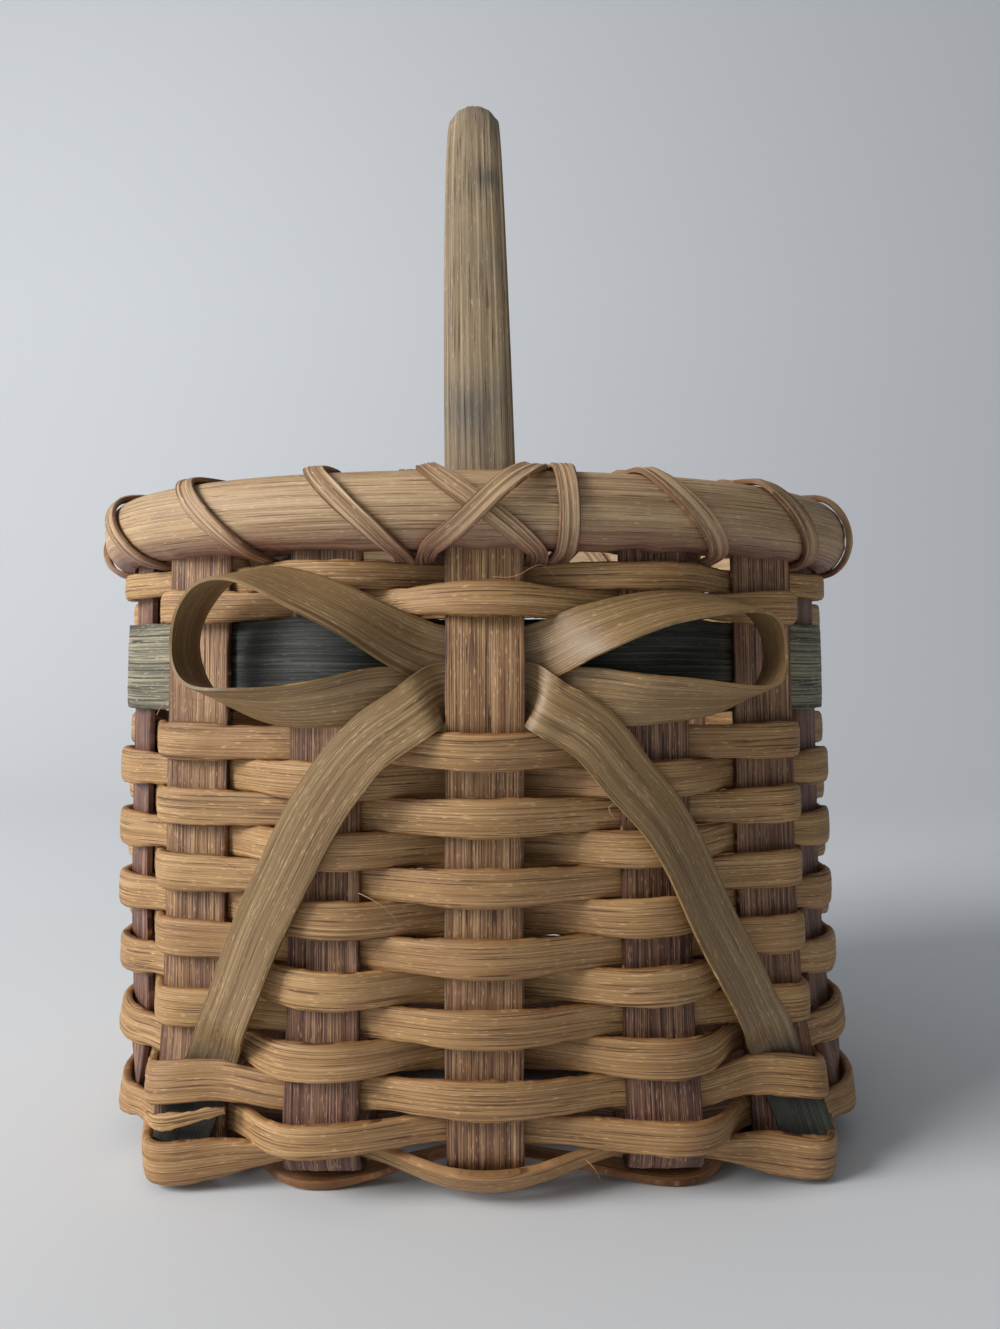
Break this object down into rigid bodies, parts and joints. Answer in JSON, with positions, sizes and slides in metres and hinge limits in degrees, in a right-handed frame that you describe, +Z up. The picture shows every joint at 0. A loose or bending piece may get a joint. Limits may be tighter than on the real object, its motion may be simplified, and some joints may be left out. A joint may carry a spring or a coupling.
{
  "type": "knitting basket",
  "caption": "Small woven splint basket with a rounded rectangular body, a lashed rim, a fixed overhead hoop handle and a flat-reed bow on the front",
  "frame": {"origin": "middle of the footprint, on the surface the basket stands on", "axes": "+Z up along the handle, -Y towards the front with the bow, +X to the right as seen from the front"},
  "size_m": [0.1572, 0.1354, 0.2069],
  "materials": {
    "stake_reed": "bare flat reed, pinkish brown, lengthwise fibres",
    "weaver_reed": "bare flat oval reed, golden tan, fine fibres",
    "green_dyed_reed": "dyed dark green flat reed, faded grey green where light reached it",
    "rim_reed": "bare half round reed, golden, with torn fibres",
    "lashing_reed": "bare narrow reed strip",
    "handle_wood": "weathered grey brown wood with dark stains",
    "ribbon_reed": "green dyed flat reed faded to olive tan"
  },
  "bodies": {
    "root": {"stake_front_back_1": "stake_reed", "stake_front_back_2": "stake_reed", "stake_front_back_3": "stake_reed", "stake_front_back_4": "stake_reed", "stake_front_back_5": "stake_reed", "stake_side_side_1": "stake_reed", "stake_side_side_2": "stake_reed", "stake_side_side_3": "stake_reed", "handle_hoop": "handle_wood", "weaver_row_01": "weaver_reed", "weaver_row_02": "weaver_reed", "green_band": "green_dyed_reed", "weaver_row_04": "weaver_reed", "weaver_row_05": "weaver_reed", "weaver_row_06": "weaver_reed", "weaver_row_07": "weaver_reed", "weaver_row_08": "weaver_reed", "weaver_row_09": "weaver_reed", "weaver_row_10": "weaver_reed", "weaver_row_11": "weaver_reed", "weaver_row_12": "weaver_reed", "weaver_row_13": "weaver_reed", "weaver_row_14": "weaver_reed", "weaver_row_15": "weaver_reed", "weaver_row_16": "weaver_reed", "weaver_row_17": "weaver_reed", "rim_outer": "rim_reed", "rim_inner": "rim_reed", "rim_lashing": "lashing_reed", "bow_loops": "ribbon_reed", "bow_tails": "ribbon_reed"}
  },
  "joints": []
}
